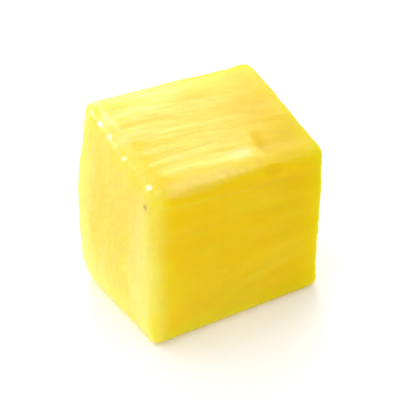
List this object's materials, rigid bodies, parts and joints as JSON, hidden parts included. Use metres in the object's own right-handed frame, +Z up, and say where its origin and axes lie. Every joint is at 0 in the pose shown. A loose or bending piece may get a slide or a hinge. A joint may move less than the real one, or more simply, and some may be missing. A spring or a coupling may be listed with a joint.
{
  "type": "pineapple cube",
  "caption": "Hand-cut cube of fresh pineapple flesh, with uneven knife-cut sides, soft wet edges and a slightly rounded rind side, resting on a flat cut.",
  "frame": {"origin": "centre of the footprint, on the flat cut that the cube rests on", "axes": "+Z up; +X along the fibres, from the rind side to the core side; -Y is the side that faces the viewer in shade"},
  "size_m": [0.0298, 0.0212, 0.03],
  "materials": {
    "pineapple_flesh": "fresh pineapple flesh: translucent lemon to golden yellow with paler fibres, wet and softly glossy"
  },
  "bodies": {
    "root": {"pineapple_cube": "pineapple_flesh"}
  },
  "joints": []
}
